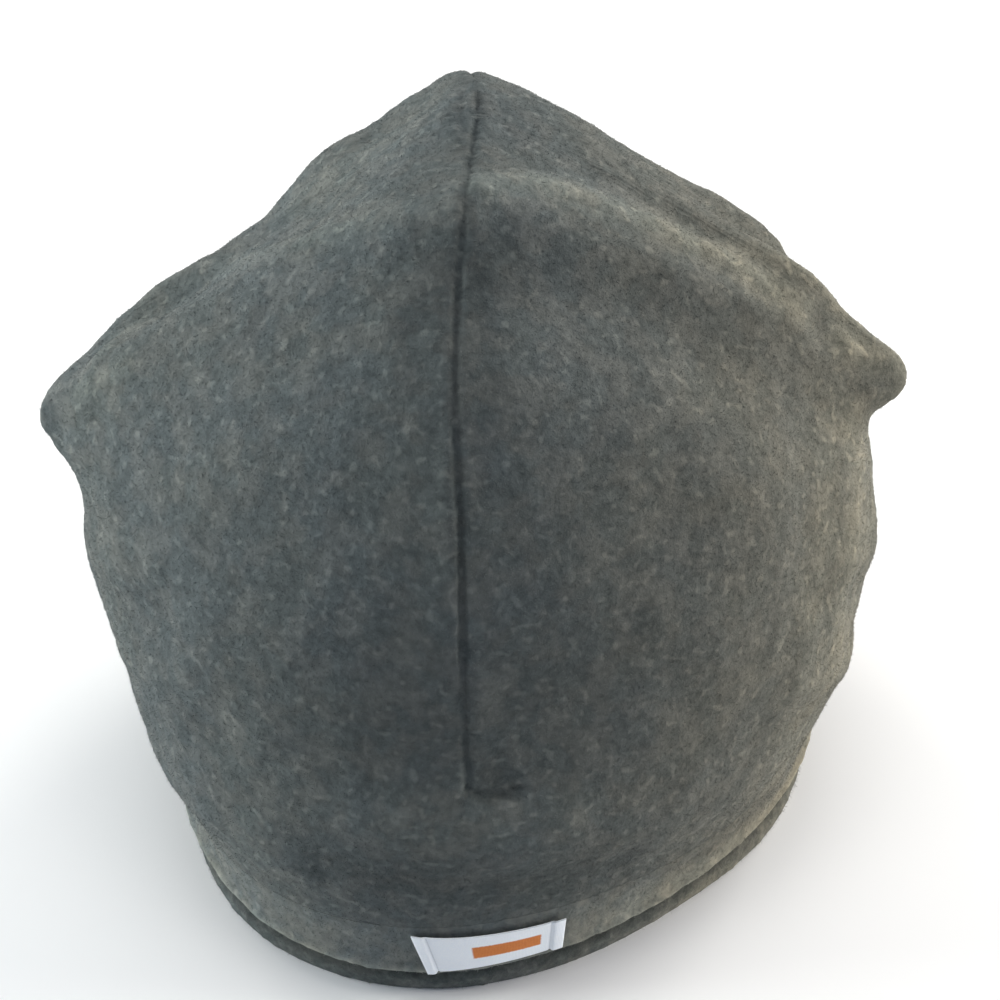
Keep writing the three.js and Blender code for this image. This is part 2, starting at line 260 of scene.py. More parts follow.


# %% [markdown]
# ## Fleece
#
# Brushed heather fleece isn't one grey. Its yarn is spun from light, middle and dark fibres, and brushing
# pulls them into small tufts, so from near it is a mottle of 1 to 4 mm blots, bluish in some places and
# brownish in others, with a few pale specks. That is what the layers of noise below are. The right of the
# hat is painted warmer and a little lighter than the left, and the bluish patches come more often on the
# left: painted light, warm from the right and cool from the left. Two point attributes, which are painted
# on the cloth further down, multiply the mottle without hiding it: one darkens creases, hollows and whole
# zones with painted shade, the other lightens crests, rolls and whole zones with painted highlight. Fleece
# is matt and has a faint sheen at glancing angles, where the tips of the nap catch the light.

# %% Make the fleece materials
def fleece(name, dark, middle, pale, cool, warm, speck=0.4, sheen=0.25):
    """Heather fleece from its dark, middle and pale fibres and two tints."""
    look = Look(name)
    blots = look.grain(2.8 * MM, 2, 0.55, 0.3)
    tufts = look.grain(1.3 * MM, 2, 0.6, 0.7)
    hairs = look.grain(0.45 * MM, 2, 0.7, 0.1, 0.6)
    drift = look.grain(26 * MM, 2, 0.5, 0.2)
    patches = look.grain(8 * MM, 2, 0.5, 0.9)
    specks = look.step(look.grain(2.4 * MM, 0, 0.5, 0.5), 0.58, 0.86)
    pits = look.step(look.grain(2.7 * MM, 0, 0.5, 1.7), 0.56, 0.84)
    height = blots * 0.5 + tufts * 0.3 + hairs * 0.2
    shade = look.step(height, 0.3, 0.7)
    body = look.mix(shade, dark, middle)
    body = look.mix(look.step(patches, 0.45, 0.7) * 0.16, body, pale)
    body = look.mix(pits * 0.3, body, dark)
    body = look.mix(specks * speck, body, pale)
    body = look.mix(look.step(drift, 0.38, 0.62) * 0.4, body, look.mix(1.0, body, warm, "MULTIPLY"))
    # Painted light: the right of the hat is made warmer and lighter and the left cooler, as if lit warm from
    # the right and cool from the left.
    side = look.step(look.node("ShaderNodeSeparateXYZ", None, {0: look.place()}, "X"), 0.0, 95 * MM)
    cool_patches_and_painted_light = look.step(patches, 0.58, 0.4) * (0.5 - 0.35 * side)
    body = look.mix(cool_patches_and_painted_light, body, look.mix(1.0, body, cool, "MULTIPLY"))
    body = look.mix(1.0, body, look.mix(side, (0.97, 1.01, 1.03), (1.13, 1.05, 0.92)), "MULTIPLY")
    # Painted shade where the crease attribute is set, painted highlight where the ridge attribute is set; both
    # multiply the mottle.
    crease = look.attribute("crease")
    body = look.mix(crease, body, look.mix(1.0, body, (0.35, 0.36, 0.36), "MULTIPLY"))
    ridge = look.attribute("ridge")
    body = look.mix(ridge, body, look.mix(1.0, body, (1.76, 1.7, 1.58), "MULTIPLY"))
    normal = look.bump(height + specks * 0.1, 0.8 * MM, 0.7)
    rough = 0.86 + 0.12 * tufts
    return look.finish(
        body, rough, normal, Sheen_Weight=sheen, Sheen_Roughness=0.45, Sheen_Tint=pale, Specular_IOR_Level=0.2
    )


crown_fleece = fleece(
    "crown_fleece_nodes", (0.058, 0.064, 0.063), (0.104, 0.112, 0.11), (0.21, 0.215, 0.2),
    (0.92, 1.02, 1.06), (1.08, 1.02, 0.93),
)
# The band wears the crown's fleece made lighter in colour: painted light for its upturned flare.
band_fleece = fleece(
    "band_fleece_painted_lighter_nodes", (0.09, 0.097, 0.094), (0.15, 0.158, 0.15), (0.25, 0.25, 0.23),
    (0.9, 1.0, 1.08), (1.1, 1.02, 0.92), 0.35,
)
# The hairs wear a paler copy of the crown's fleece: painted light that offsets the shade on their thin sides.
hair_fleece_painted_lighter = fleece(
    "hair_fleece_painted_lighter", (0.085, 0.093, 0.091), (0.14, 0.15, 0.147), (0.25, 0.255, 0.24),
    (0.94, 1.0, 1.04), (1.06, 1.02, 0.95), 0.3, 0.1,
)
lining_fleece = fleece(
    "lining_fleece_nodes", (0.055, 0.06, 0.06), (0.12, 0.127, 0.12), (0.25, 0.255, 0.235),
    (0.9, 1.02, 1.04), (1.06, 1.02, 0.94), 0.3, 0.15,
)

# %% [markdown]
# The floor gets a matt, nearly white paint with the faintest unevenness, like a seamless paper sweep.

# %% Finish the floor
paper = Look("paper_floor")
unevenness = paper.grain(60 * MM, 2)
paper_colour = paper.mix(unevenness, (0.90, 0.90, 0.90), (0.92, 0.92, 0.92))
floor.data.materials.append(paper.finish(paper_colour, 0.9))

# %% [markdown]
# ## Copying a solid to model on
#
# A CAD solid arrives as loose triangles, and it must stay as it is, because the physics uses it. So each
# soft piece starts from a copy. Its doubled corners are merged and its triangles paired into quads, since
# a subdivision surface runs smoothly over quads and lumps over triangles.

# %% Modelling helpers
def activate(piece):
    """Selects one piece alone and makes it the active one."""
    deselect()
    piece.select_set(True)
    bpy.context.view_layer.objects.active = piece


def copied(node, name):
    """A copy of a CAD node's mesh as a piece of its own, merged and in quads."""
    piece = bpy.data.objects.new(name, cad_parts[node].data.copy())
    bpy.context.scene.collection.objects.link(piece)
    piece.data.name = name
    piece.data.materials.clear()
    activate(piece)
    if piece.data.has_custom_normals:
        bpy.ops.mesh.customdata_custom_splitnormals_clear()
    bpy.ops.object.mode_set(mode="EDIT")
    bpy.ops.mesh.select_all(action="SELECT")
    bpy.ops.mesh.remove_doubles(threshold=0.01 * MM)
    bpy.ops.mesh.tris_convert_to_quads(
        face_threshold=radians(120), shape_threshold=radians(150), topology_influence=2
    )
    bpy.ops.object.mode_set(mode="OBJECT")
    print(name, len(piece.data.vertices), "corners,", len(piece.data.polygons), "faces")
    return piece


def apply_all(piece):
    """Applies a piece's modifiers, from the top of the list down."""
    activate(piece)
    for modifier in list(piece.modifiers):
        bpy.ops.object.modifier_apply(modifier=modifier.name)


def subdivided(piece, levels):
    """A subdivision surface, applied."""
    modifier = piece.modifiers.new("smooth_cloth", "SUBSURF")
    modifier.levels = levels
    modifier.render_levels = levels
    apply_all(piece)


def select_faces(piece, wanted):
    """Selects the faces whose index is in wanted, and enters edit mode."""
    activate(piece)
    chosen = np.zeros(len(piece.data.polygons), bool)
    chosen[wanted] = True
    piece.data.vertices.foreach_set("select", np.zeros(len(piece.data.vertices), bool))
    piece.data.edges.foreach_set("select", np.zeros(len(piece.data.edges), bool))
    piece.data.polygons.foreach_set("select", chosen)
    bpy.ops.object.mode_set(mode="EDIT")
    bpy.ops.mesh.select_mode(type="FACE")


def group_of(piece, name, weights):
    """A vertex group of the points whose weight isn't 0."""
    group = piece.vertex_groups.new(name=name)
    for index in np.flatnonzero(weights):
        group.add([int(index)], float(weights[index]), "REPLACE")
    return group


def triangles(piece):
    return sum(len(face.vertices) - 2 for face in piece.data.polygons)


def places(piece):
    """The piece's points as rows of x, y, z."""
    flat = np.empty(len(piece.data.vertices) * 3)
    piece.data.vertices.foreach_get("co", flat)
    return flat.reshape(-1, 3)


def normals(piece):
    """Which way each point faces, as rows of x, y, z."""
    flat = np.empty(len(piece.data.vertices) * 3)
    piece.data.vertex_normals.foreach_get("vector", flat)
    return flat.reshape(-1, 3)


def put(piece, points):
    """Moves the piece's points to new places."""
    piece.data.vertices.foreach_set("co", points.ravel())
    piece.data.update()


def tree_of(piece):
    """The piece as a search tree, which rays can be cast at."""
    mesh = piece.data
    return BVHTree.FromPolygons([v.co for v in mesh.vertices], [list(f.vertices) for f in mesh.polygons])


# %% [markdown]
# ## The crown: a smooth skin first
#
# The crown is one sheet of fleece with its lining behind it. Its form is already in the solid, only in flat
# facets of a few millimetres. Two levels of subdivision make it smooth, and a Smooth modifier with a vertex
# group evens out the top, where the solid was closed. The outside is then divided once more where its faces
# are largest, for small lumps need small faces, and the inside, which nobody sees close up, is thinned out
# instead.

# %% Smooth the crown
SEAM_X = -1.84 * MM
CORE = np.array([SEAM_X, 11.8 * MM, 118 * MM])
INSIDE_SLOT = 1
FAR = 0.3  # a place this far out, in metres, is outside the hat
# How far behind the outermost cloth a face has to lie to count as inside, at the peak and elsewhere.
PEAK_Z = 190 * MM
BEHIND_AT_PEAK = 2.4 * MM
BEHIND = 1.2 * MM


def mark_inside(piece):
    """Gives the second material slot to faces that look towards the middle of the hat from behind the wall."""
    inward = 0
    tree = tree_of(piece)
    for face in piece.data.polygons:
        core = Vector((CORE[0], CORE[1], min(CORE[2], face.center.z)))
        outward = (face.center - core).normalized()
        outermost = tree.ray_cast(core + outward * FAR, -outward)[0]
        behind = BEHIND_AT_PEAK if face.center.z > PEAK_Z else BEHIND
        if face.normal.dot(outward) < 0 and (outermost - face.center).length > behind:
            face.material_index = INSIDE_SLOT
            inward += 1
    print(piece.name, inward, "faces look inwards")


def outside_points(piece):
    """True for the points that belong to outside faces alone."""
    outside = np.ones(len(piece.data.vertices), bool)
    for face in piece.data.polygons:
        if face.material_index == INSIDE_SLOT:
            outside[list(face.vertices)] = False
    return outside


crown = copied("crown", "crown_cloth")
crown.data.materials.append(crown_fleece)
crown.data.materials.append(lining_fleece)
mark_inside(crown)
subdivided(crown, 2)


def smoothed(piece, name, weights, iterations):
    """Evens a piece out where the weights say so."""
    modifier = piece.modifiers.new(name, "SMOOTH")
    modifier.factor = 0.5
    modifier.iterations = iterations
    modifier.vertex_group = group_of(piece, name, weights).name
    apply_all(piece)


BANK_FRONT = 17 * MM
BANK_BACK = 37 * MM


def bridged(piece):
    """Lifts what lies too low on the top onto straight lines from the front bank to the back one."""
    tree = tree_of(piece)
    points = places(piece)
    x, y, z = points.T
    between = (y > BANK_FRONT) & (y < BANK_BACK) & (x > -60 * MM) & (x < 45 * MM)
    for index in np.flatnonzero(outside_points(piece) & (z > 165 * MM) & between):
        above = [Vector((x[index], bank, FAR)) for bank in (BANK_FRONT, BANK_BACK)]
        front, back = (tree.ray_cast(start, Vector((0, 0, -1)))[0].z for start in above)
        level = front + (back - front) * (y[index] - BANK_FRONT) / (BANK_BACK - BANK_FRONT)
        points[index, 2] = max(z[index], level)
    put(piece, points)


# The solid has two grooves of its own on the top. The one along the seam is evened out, because the seam is
# drawn anew below, and the one across it is bridged, once more at the end, for its few large faces sag.
bridged(crown)
smoothed(crown, "top", np.clip((places(crown)[:, 2] - 160 * MM) / (22 * MM), 0, 1), 36)
bridged(crown)
print("the top is smooth, and", round(places(crown)[:, 2].max() / MM, 1), "mm high")

inner_faces = [face.index for face in crown.data.polygons if face.material_index == INSIDE_SLOT]
select_faces(crown, inner_faces)
bpy.ops.mesh.decimate(ratio=0.2)
bpy.ops.object.mode_set(mode="OBJECT")

FINE_FACE = 2.3 * MM * MM
coarse = [f.index for f in crown.data.polygons if f.material_index == 0 and f.area > FINE_FACE]
select_faces(crown, coarse)
bpy.ops.mesh.subdivide(number_cuts=1)
bpy.ops.object.mode_set(mode="OBJECT")
print("crown", triangles(crown), "triangles,", len(coarse), "faces were divided again")

# %% [markdown]
# ## Folds drawn on the cloth
#
# A sculptor would press creases and pinch ridges with a brush. Here a brush stroke is a path of pixels in
# the photograph, a width and a height: the path is cast onto the cloth from the camera, and the points near
# it move along their normals, most on the path and less away from it. Wide strokes take the inside along,
# so that the wall keeps its thickness; narrow ones touch the outside alone. The stroke also leaves a trace
# in a point attribute, which the fleece material reads: where the trace is below 0, as at the bottom of a
# crease or in a hollow, the cloth is darkened with painted shade, and where it is above 0, as on a ridge or
# a roll, it is lightened with painted highlight. Strokes of height 0 move nothing and only paint shade or
# highlight.

# %% Strokes
WIDE_STROKE = 5 * MM


def smooth_path(points, steps=10):
    """A Catmull-Rom curve through a few points."""
    stops = np.array(points, float)
    stops = np.vstack([2 * stops[0] - stops[1], stops, 2 * stops[-1] - stops[-2]])
    curve = []
    for a, b, c, d in zip(stops, stops[1:], stops[2:], stops[3:]):
        for share in np.arange(steps) / steps:
            bend = (2 * a - 5 * b + 4 * c - d) * share**2 + (3 * b - a - 3 * c + d) * share**3
            curve.append(0.5 * (2 * b + (c - a) * share + bend))
    return np.array([*curve, stops[-2]])


def under_pixel(tree, pixel):
    """The place on the cloth that a pixel shows, or the nearest one where its ray just passes the edge."""
    ray = pixel_ray(*pixel)
    hit = tree.ray_cast(EYE, ray)[0]
    if hit:
        return hit
    beside = [tree.find_nearest(EYE + ray * distance * MM) for distance in range(440, 800, 6)]
    return min(beside, key=lambda found: found[3])[0]


def cast_path(tree, pixels):
    """The places on the cloth that lie under a path of pixels."""
    return np.array([under_pixel(tree, pixel) for pixel in smooth_path(pixels)])


def distance_to(path, points):
    """How far each point is from a path, and how far along the path its nearest place is, 0 to 1."""
    nearest = np.full(len(points), 1.0)
    along = np.zeros(len(points))
    steps = max(len(path) - 1, 1)
    for index in range(steps):
        start = path[index]
        run = path[index + 1] - start
        share = np.clip((points - start) @ run / max(run @ run, 1e-12), 0, 1)
        gap = np.linalg.norm(points - start - share[:, None] * run, axis=1)
        closer = gap < nearest
        nearest[closer] = gap[closer]
        along[closer] = (index + share[closer]) / steps
    return nearest, along


def paint(piece, name, values):
    """Keeps the larger of the old and the new value of a point attribute."""
    layer = piece.data.attributes.get(name) or piece.data.attributes.new(name, "FLOAT", "POINT")
    old = np.zeros(len(piece.data.vertices), np.float32)
    layer.data.foreach_get("value", old)
    layer.data.foreach_set("value", np.maximum(old, values).astype(np.float32))


def common_direction(piece, weights, along, steps):
    """Which way the cloth faces along a path: the mean of the normals round each step, smoothed."""
    step = np.round(along * (steps - 1)).astype(int)
    sums = [np.bincount(step, weights * part, steps) for part in normals(piece).T]
    reach = min(12, (steps - 1) // 2)
    blur = np.exp(-((np.arange(-reach, reach + 1) / 6) ** 2))
    mean = np.column_stack([np.convolve(line, blur, "same") for line in sums])
    return (mean / np.linalg.norm(mean, axis=1)[:, None])[step]


def stroke(piece, outside, path, width, height, trace=0.0, ends=0.12):
    """Raises the cloth along a path, or sinks it where height is negative."""
    points = places(piece)
    gap, along = distance_to(path, points)
    share = np.exp(-((gap / width) ** 2))
    if width > WIDE_STROKE:
        lift = share * height
        out = common_direction(piece, share * outside, along, len(path))
    else:
        share *= np.clip(np.minimum(along, 1 - along) / ends + 0.02, 0, 1)
        lift = share * height * outside
        out = normals(piece)
    put(piece, points + out * lift[:, None])
    # A trace below 0 paints shade, one above 0 paints a highlight.
    if trace:
        paint(piece, "crease" if trace < 0 else "ridge", share * outside * abs(trace))


FOLD_STROKES = [
    # name, pixels of the photograph, width in mm, height in mm, trace (below 0 painted shade, above 0 painted
    # highlight)
    ("crest right of the seam", [(480, 190), (530, 186), (600, 205), (700, 250), (760, 283), (800, 310)],
     5.2, 1.8, 0.85),
    ("painted shade under the right crest", [(480, 262), (560, 255), (640, 285), (730, 335)], 12, 0, -0.3),
    ("hollow under the right crest", [(480, 300), (560, 305), (640, 330), (720, 370)], 16, -2.6, 0),
    ("crest left of the seam", [(104, 356), (150, 318), (200, 280), (330, 235), (435, 213), (462, 214)],
     5.2, 1.5, 0.4),
    ("hollow under the left crest", [(180, 380), (260, 345), (340, 310), (440, 300)], 14, -1.8, 0),
    ("second crest to the right corner", [(690, 250), (760, 258), (830, 292), (885, 345)], 4.5, 0.7, 0.5),
    ("over the second crest", [(812, 292), (830, 302)], 6, 1.2, 0),
    ("hollow over the second crest", [(843, 310), (864, 332)], 6, -2.6, 0),
    ("hollow between the crests", [(740, 282), (790, 305), (850, 350)], 4, -1.3, -0.1),
    ("right corner's top", [(850, 345), (885, 358), (898, 370)], 6, 1.3, 0.85),
    ("right corner's tip", [(880, 393), (892, 385)], 5.5, 1.2, 0.2),
    ("left corner's ridge", [(70, 402), (105, 380), (140, 360)], 4.5, 0.9, 0.65),
    ("left corner's groove", [(98, 352), (128, 332), (162, 309)], 2.2, -0.8, -0.3),
    ("edge over the left groove", [(125, 325), (150, 303), (190, 272)], 7, 1.3, 0.1),
    ("under the left corner", [(46, 418), (52, 440)], 6, -1.5, 0),
    ("faint line of the left crest", [(292, 191), (316, 185)], 2, 0.3, 0.25),
    ("left of the peak", [(372, 128), (408, 106)], 11, -2.8, 0),
    ("left shoulder", [(334, 148), (314, 168)], 9, 2.0, 0),
    ("hollow under the left shoulder", [(286, 198), (276, 206)], 5.5, -1.6, 0),
    ("the peak", [(450, 78), (476, 77)], 9, 1.1, 0),
    ("right of the peak", [(525, 98), (570, 120)], 12, 1.6, 0),
    ("painted highlight on the top left", [(300, 192), (380, 142)], 14, 0, 0.3),
    ("right shoulder", [(715, 196), (775, 244)], 9, 1.5, 0),
    ("right side's stripe", [(848, 425), (853, 500), (848, 570), (834, 640)], 8, 1.4, 0.7),
    ("flat of the right front", [(730, 430), (738, 520), (725, 610)], 22, 1.8, 0),
    ("crease before the stripe", [(800, 440), (806, 520), (800, 600), (782, 680)], 5.5, -0.7, 0),
    ("upper dip of the right side", [(868, 578), (852, 592), (820, 600)], 6, -1.6, -0.1),
    ("roll of the right side", [(850, 655), (828, 672), (795, 690)], 8, 2.4, 0.6),
    ("lower dip of the right side", [(800, 720), (760, 730)], 6, -0.8, -0.1),
    ("upper dip of the left side", [(93, 545), (120, 560), (150, 566)], 6, 1.2, 0.1),
    ("roll of the left side", [(98, 590), (125, 604), (160, 610)], 6, -1.4, -0.08),
    ("lower roll of the left side", [(124, 652), (150, 668), (190, 676)], 6, 1.2, 0.1),
    ("lower dip of the left side", [(146, 722), (175, 736), (215, 742)], 6, -1.4, -0.08),
    ("swell under the seam", [(410, 814), (450, 820), (510, 822), (560, 814)], 9, 1.8, 0.25),
    ("undercut of the front", [(330, 868), (400, 885), (470, 892), (540, 885), (620, 862)], 9, -1.8, -0.4),
    ("painted highlight on the left corner", [(72, 420), (115, 392)], 12, 0, 0.3),
    ("painted highlight on the right side", [(866, 430), (868, 500), (858, 570), (845, 640)], 18, 0, 0.4),
    ("painted highlight before the stripe", [(828, 430), (830, 500), (824, 570), (812, 650)], 9, 0, 0.42),
    ("painted highlight on the lower right", [(822, 650), (805, 720), (788, 760)], 15, 0, 0.5),
    ("painted highlight beside the seam", [(428, 400), (428, 600)], 9, 0, 0.16),
    ("painted shade under the left crest", [(240, 330), (340, 320), (420, 300)], 11, 0, -0.12),
    ("painted shade of the right front", [(650, 420), (715, 520)], 20, 0, -0.1),
    ("painted shade of the lower front", [(330, 700), (400, 730), (480, 700), (540, 690)], 18, 0, -0.12),
]

crown_outside = outside_points(crown)
crown_tree = tree_of(crown)
for name, pixels, width, height, trace in FOLD_STROKES:
    path = cast_path(crown_tree, pixels)
    stroke(crown, crown_outside, path, width * MM, height * MM, trace)
    print(name, len(path), "places")

# %% [markdown]
# ## The seam and its foot
#
# Two panels meet over the middle of the crown. The seam is sewn inside, so all that shows is a thin dark
# furrow with softly swollen edges, shallower over the peak, where the cloth is stretched. It ends above the
# hem in a small tuck to the right, where the cloth that is left over is folded in and tacked down.

# %% Press in the seam
FRONT_SEAM = [(476, 79), (477, 110), (471, 160), (465, 207), (458, 290), (455, 370), (457, 457),
              (461, 543), (464, 643), (467, 757), (467, 786)]
TUCK = [(463, 789), (480, 794), (500, 794), (523, 789)]

crown_tree = tree_of(crown)
seam_path = cast_path(crown_tree, FRONT_SEAM)
tuck_path = cast_path(crown_tree, TUCK)
back_path = []
for degrees in range(88, 222, 3):
    outward = Vector((0, -cos(radians(degrees)), sin(radians(degrees))))
    core = Vector(CORE)
    core.x += (seam_path[0][0] - SEAM_X) * max(0, 1 - (degrees - 100) / 40)
    hit = crown_tree.ray_cast(core + outward * FAR, -outward)[0]
    if hit and hit.y > seam_path[0][1] + 2 * MM and hit.z > 33 * MM:
        back_path.append(hit)
back_path = np.array([seam_path[0], *back_path])
whole_seam = np.vstack([back_path[:0:-1], seam_path])
stroke(crown, crown_outside, whole_seam, 4.5 * MM, 0.5 * MM, 0, 0.01)
# Painted shade in the seam's furrow.
stroke(crown, crown_outside, whole_seam, 1.1 * MM, -1.2 * MM, -0.45, 0.01)
over_the_peak = whole_seam[np.linalg.norm(whole_seam - seam_path[0], axis=1) < 14 * MM]
stroke(crown, crown_outside, over_the_peak, 1.4 * MM, 1.2 * MM, 0, 0.3)
# Painted shade in the tuck and over it, painted highlight on the fold under it.
stroke(crown, crown_outside, tuck_path + np.array([0, 0, 5 * MM]), 5 * MM, -0.9 * MM, -0.3, 0.2)
stroke(crown, crown_outside, tuck_path - np.array([0, 0, 4 * MM]), 3.5 * MM, 1.0 * MM, 0.25)
stroke(crown, crown_outside, tuck_path, 1.2 * MM, -1.4 * MM, -0.65, 0.06)
print("seam", round(sum(np.linalg.norm(np.diff(seam_path, axis=0), axis=1)), 4), "m long at the front")

# %% [markdown]
# ## Where the crown meets the band
#
# The crown is sewn to the band edge to edge, and from outside only a soft furrow shows. Two solids that are
# each rounded at their edge leave a deep slot instead. So the distance from the middle of the hat is read
# off both pieces a little above and a little below the seam, for every direction, and the points in between
# are moved onto the line from one to the other. The crown's edge reaches a hair over the band's.

# %% Sew the crown to the band
SEAM_Z = 29.2 * MM
ABOVE = 36 * MM
BELOW = 22 * MM
FURROW_DEPTH = 0.35 * MM
FURROW_WIDTH = 2.4 * MM
OVERLAP = 1.5 * MM


def radius_round(piece, z, steps=240):
    """The piece's outer distance from the z axis at a height, for every direction."""
    tree = tree_of(piece)
    found = []
    for index in range(steps):
        angle = index * 2 * pi / steps
        outward = Vector((cos(angle), sin(angle), 0))
        hit = tree.ray_cast(Vector((0, 0, z)) + outward * FAR, -outward)[0]
        found.append(hypot(hit.x, hit.y))
    return np.array([*found, found[0]])


def sew(piece, above, below, inset, outer):
    """Lays a piece's outer points near the seam on the line between the two distances."""
    points = places(piece)
    angle = np.arctan2(points[:, 1], points[:, 0]) % (2 * pi)
    stops = np.linspace(0, 2 * pi, len(above))
    share = np.clip((points[:, 2] - BELOW) / (ABOVE - BELOW), 0, 1)
    wanted = np.interp(angle, stops, below) * (1 - share) + np.interp(angle, stops, above) * share
    furrow = np.exp(-(((points[:, 2] - SEAM_Z) / FURROW_WIDTH) ** 2))
    wanted -= (inset + FURROW_DEPTH) * furrow
    radius = np.linalg.norm(points[:, :2], axis=1)
    near = outer & (radius > wanted - 8 * MM)
    pull = np.sin(share * pi) ** 0.5 * near
    points[:, :2] *= (1 + pull * (wanted - radius) / radius)[:, None]
    put(piece, points)


def around(points, middle, width):
    """1 in one direction from the z axis and less to both sides of it, in degrees; -90 is the front."""
    angle = np.degrees(np.arctan2(points[:, 1], points[:, 0]))
    return np.exp(-((((angle - middle + 180) % 360 - 180) / width) ** 2))


def moved_out(points, distance):
    """Moves points away from the z axis, or towards it where distance is negative."""
    radius = np.linalg.norm(points[:, :2], axis=1)
    points[:, :2] *= (1 + distance / radius)[:, None]
    return points


def faces_away(piece):
    """True for the points whose cloth faces away from the z axis."""
    points = places(piece)
    return np.einsum("ij,ij->i", normals(piece)[:, :2], points[:, :2]) > 0


def drawn_in(points):
    """Draws the rim in at the front right, most at the floor, and at the left where the band starts."""
    low = np.clip((46 * MM - points[:, 2]) / (34 * MM), 0, 1)
    waist = np.exp(-(((points[:, 2] - 25 * MM) / (13 * MM)) ** 2))
    front_right = around(points, -50, 25) * low * low * (3 - 2 * low)
    left = around(points, -153, 24) * waist
    return moved_out(points, -(2.2 * front_right + 4.4 * left) * MM)


band = copied("hem_band", "band_cloth")
band.data.materials.append(band_fleece)
subdivided(band, 3)
for piece in (crown, band):
    put(piece, drawn_in(places(piece)))
above = radius_round(crown, ABOVE)
below = radius_round(band, BELOW)
sew(crown, above, below, 0, crown_outside)
sew(band, above, below, 0.35 * MM, faces_away(band))
points = places(crown)
points[:, 2] -= OVERLAP * np.clip((31 * MM - points[:, 2]) / (2 * MM), 0, 1)
put(crown, points)
print("crown and band differ by", round(float(np.abs(above - below).mean()) / MM, 1), "mm in radius on average")

# %% [markdown]
# ## Lumps of brushed fleece
#
# Fleece never lies flat: it has slow waves where the cloth is slack, and small tufts where it was brushed.
# The Displace modifier does this well, moving each point by a procedural texture; three of them, from
# coarse to fine, give the cloth its uneven surface. A vertex group keeps them off the inside, and lets them
# fade towards the band, or else a gap would open there.

# %% Displace the crown
def cloud(name, size, depth=2):
    """A procedural texture of soft clouds."""
    texture = bpy.data.textures.new(name, "CLOUDS")
    texture.noise_scale = size
    texture.noise_depth = depth
    return texture


def lumps(piece, group, sizes):
    """Displaces the cloth by clouds, given as (size, height) in metres."""
    for number, (size, height) in enumerate(sizes):
        modifier = piece.modifiers.new(f"lumps_{number}", "DISPLACE")
        modifier.texture = cloud(f"{piece.name}_lumps_{number}", size)
        modifier.texture_coords = "LOCAL"
        modifier.strength = height
        modifier.mid_level = 0.5
        modifier.vertex_group = group.name
    apply_all(piece)


off_the_seam = np.clip((places(crown)[:, 2] - SEAM_Z - 1 * MM) / (9 * MM), 0.08, 1)
outside_group = group_of(crown, "outside", crown_outside * off_the_seam)
lumps(crown, outside_group, [(26 * MM, 2.2 * MM), (9 * MM, 1.0 * MM), (2.6 * MM, 0.5 * MM)])
bpy.ops.object.shade_smooth()
print("crown", triangles(crown), "triangles")

# %% [markdown]
# ## The hem band
#
# The band is a strip of the same fleece, folded double and sewn round the opening. It is stretched a little
# by the seam, so it flares out below the crown and its lower edge is a soft, crisp roll that waves in and
# out. A copy of its solid is subdivided, and the roll is pushed out by height above the floor. To the right
# of the label the lower edge rises a little, so that more of the lining shows.

# %% Model the hem band
BAND_LOW, BAND_HIGH = (corner.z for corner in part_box("hem_band"))
RISE = 3.2 * MM
RISE_MIDDLE = -22
RISE_WIDTH = 26

points = places(band)
out = points * np.array([1, 1, 0])
out /= np.linalg.norm(out, axis=1)[:, None]
outer = faces_away(band)
roll = np.exp(-(((points[:, 2] - BAND_LOW - 1.4 * MM) / (1.3 * MM)) ** 2))
below_the_seam = np.clip((BAND_HIGH - points[:, 2]) / (BAND_HIGH - BAND_LOW), 0, 1)
rise = around(points, RISE_MIDDLE, RISE_WIDTH) * below_the_seam
angle = np.arctan2(points[:, 1], points[:, 0])
wave = 0.35 * np.sin(9 * angle + 0.6) + 0.25 * np.sin(17 * angle + 2)
middle_share = np.clip((BAND_HIGH - 3 * MM - points[:, 2]) / (8 * MM), 0, 1)
off_the_seam = np.clip((BAND_HIGH - 1 * MM - points[:, 2]) / (5 * MM), 0.08, 1)
lift = (1.3 * roll + wave * (1 - roll) * middle_share) * outer * MM
points += out * lift[:, None]
points[:, 2] += 0.35 * MM * np.sin(5 * angle + 1) * (points[:, 2] < BAND_LOW + 4 * MM)
points[:, 2] += RISE * rise
put(band, points)
to_right = np.clip((np.degrees(angle) + 75) / 35, 0, 1) * (np.abs(np.degrees(angle)) < 75)
height = np.clip((points[:, 2] - BAND_LOW - 3 * MM) / (5 * MM), 0, 1)
band_highlight_reach = (14 - 7 * np.clip((np.degrees(angle) + 80) / 40, 0, 1)) * MM
band_painted_highlight = np.clip(1.4 - (points[:, 2] - BAND_LOW - RISE * rise) / band_highlight_reach, 0, 1)
# Painted highlight on the roll of the lower edge, and on the lower band at the front right.
paint(band, "ridge", roll * outer * 0.9)
paint(band, "ridge", 0.9 * band_painted_highlight * around(points, -45, 38) * outer)
# Painted shade on the upper band to the right of the front, under the crown.
paint(band, "crease", 0.35 * height * to_right * outer)
lumps(band, group_of(band, "off_the_seam", off_the_seam), [(7 * MM, 0.7 * MM), (2.4 * MM, 0.45 * MM)])
bpy.ops.object.shade_smooth()
print("band", triangles(band), "triangles")

# %% [markdown]
# ## The edge of the lining
#
# Under the band the lining shows as a dark, fuzzy strip. It carries the hat, so its lower face stays flat on
# the floor while its outside is roughened.

